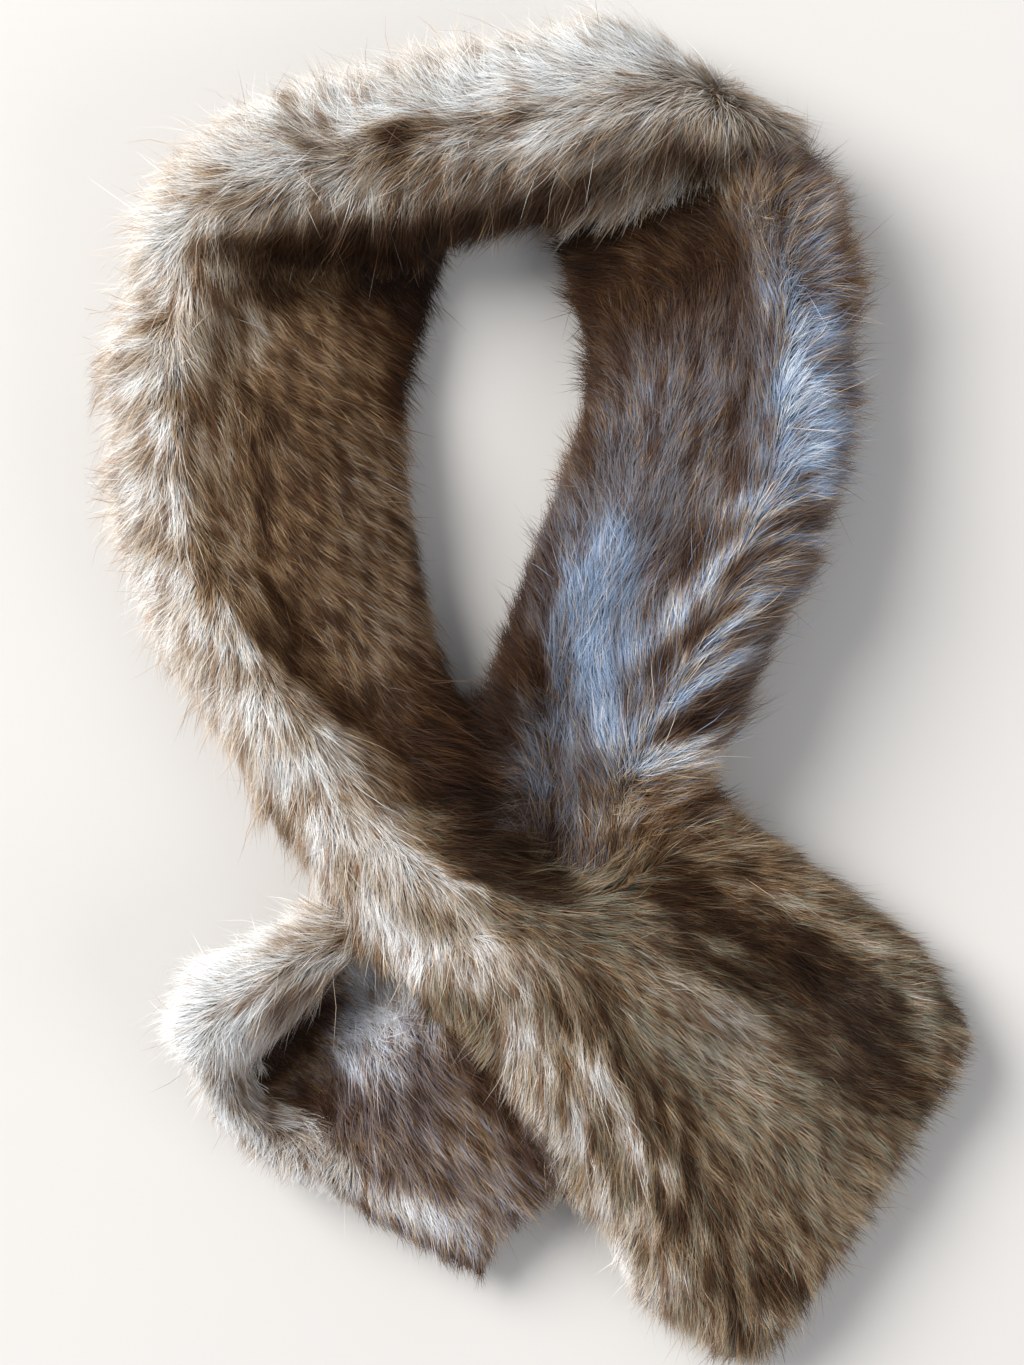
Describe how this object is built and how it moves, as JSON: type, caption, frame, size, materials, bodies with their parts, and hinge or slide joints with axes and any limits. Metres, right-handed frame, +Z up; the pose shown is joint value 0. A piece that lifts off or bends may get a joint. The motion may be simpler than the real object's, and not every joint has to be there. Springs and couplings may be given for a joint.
{
  "type": "fur collar wrap",
  "caption": "Long-pile fur neck wrap laid flat, doubled band with a folded back, an open neck loop and two crossed tails, worn round the collar for warmth.",
  "frame": {"origin": "centre of the laid wrap's bounding box, on the surface it lies on", "axes": "+Y from the tails towards the folded back of the neck, +X to the right as seen from above with the back at the top, +Z up out of the surface"},
  "size_m": [0.3536, 0.545, 0.0813],
  "materials": {
    "outer_fur": "long soft pile, cream and tan with dark brown spots and streaks",
    "left_fur": "long soft pile, grey-brown with fine dark speckles and a cream and tan rim",
    "right_fur": "long soft pile, pale grey with brown stripes, dark brown towards the back",
    "under_fur": "long soft pile, grey-brown with pale tips"
  },
  "bodies": {
    "root": {"back_fold": "outer_fur", "left_band": "left_fur", "right_band": "right_fur", "over_tail": "outer_fur", "under_tail": "under_fur", "rolled_edge": "outer_fur"}
  },
  "joints": []
}
